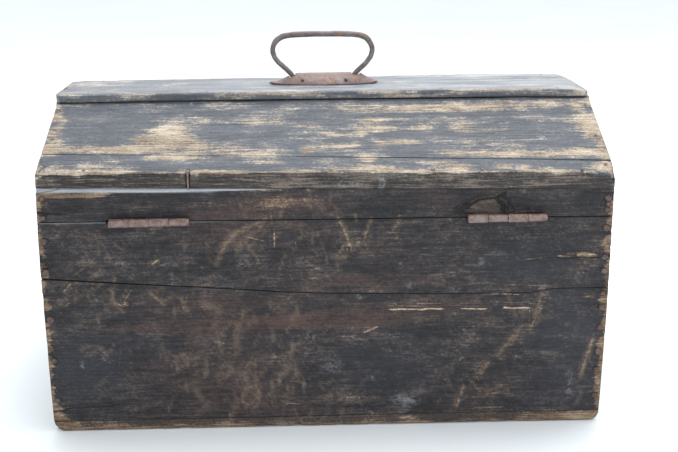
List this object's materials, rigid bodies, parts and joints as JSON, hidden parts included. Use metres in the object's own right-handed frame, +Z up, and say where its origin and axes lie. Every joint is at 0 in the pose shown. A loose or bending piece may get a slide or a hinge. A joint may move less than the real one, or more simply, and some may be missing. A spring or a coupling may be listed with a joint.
{
  "type": "donation box",
  "caption": "Old painted pine chest for offerings: roof-shaped hinged lid with a coin slot and wire bail handle, rim lock in the front wall, butt hinges at the back.",
  "frame": {"origin": "middle of the underside of the case's floor", "axes": "+X to the right as seen from the front, along the length; +Y to the back, where the hinges are; +Z up"},
  "size_m": [0.54, 0.3366, 0.3701],
  "materials": {
    "worn_dark_paint": "worn brown-black paint over pine, matt",
    "worn_blue_grey_paint": "worn blue-grey paint over pine, matt with bare streaks",
    "bare_wood": "aged bare pine",
    "rusty_iron": "rusted wrought iron",
    "lock_iron": "dark oiled iron with rust spots"
  },
  "bodies": {
    "case": {"floor_board_back": "bare_wood", "floor_board_front": "bare_wood", "end_left_lower": "worn_dark_paint", "end_left_upper": "worn_dark_paint", "end_right_lower": "worn_dark_paint", "end_right_upper": "worn_dark_paint", "back_board_lower": "worn_dark_paint", "back_board_upper": "worn_dark_paint", "front_board_lower": "worn_dark_paint", "front_board_upper": "worn_dark_paint", "hinge_left_case_leaf": "rusty_iron", "hinge_left_pin": "rusty_iron", "hinge_right_case_leaf": "rusty_iron", "hinge_right_pin": "rusty_iron", "hinge_screws_case": "rusty_iron", "lock_case": "lock_iron", "lock_cover": "lock_iron", "lock_screws": "lock_iron", "escutcheon": "rusty_iron", "escutcheon_pins": "rusty_iron", "nails_back": "rusty_iron", "nails_front": "rusty_iron", "nails_floor": "rusty_iron"},
    "lid": {"lid_rail_back": "worn_dark_paint", "lid_rail_front": "worn_dark_paint", "lid_end_left": "worn_dark_paint", "lid_end_right": "worn_dark_paint", "roof_back_lower": "worn_blue_grey_paint", "roof_back_upper": "worn_blue_grey_paint", "roof_front_lower": "worn_blue_grey_paint", "roof_front_upper": "worn_blue_grey_paint", "top_board": "worn_blue_grey_paint", "hinge_left_lid_leaf": "rusty_iron", "hinge_right_lid_leaf": "rusty_iron", "hinge_screws_lid": "rusty_iron", "handle_plate": "rusty_iron", "handle_nails": "rusty_iron", "lock_catch": "lock_iron", "catch_screws": "lock_iron", "nails_rail_back": "rusty_iron", "nails_rail_front": "rusty_iron", "nails_roof_back": "rusty_iron", "nails_roof_front": "rusty_iron", "nails_top": "rusty_iron", "bare_nail": "rusty_iron"},
    "handle": {"handle_bail": "rusty_iron"},
    "bolt": {"lock_bolt": "lock_iron"}
  },
  "joints": [
    {"name": "lid_hinge", "type": "hinge", "parent": "case", "child": "lid", "pos_m": [0, 0.1676, 0.212], "axis": [-1, 0, 0], "range_deg": [0, 186]},
    {"name": "handle_swing", "type": "hinge", "parent": "lid", "child": "handle", "pos_m": [0, 0, 0.3211], "axis": [1, 0, 0], "range_deg": [0, 92]},
    {"name": "lock_bolt_slide", "type": "slide", "parent": "case", "child": "bolt", "axis": [1, 0, 0], "range_m": [0, 0.0135]}
  ]
}
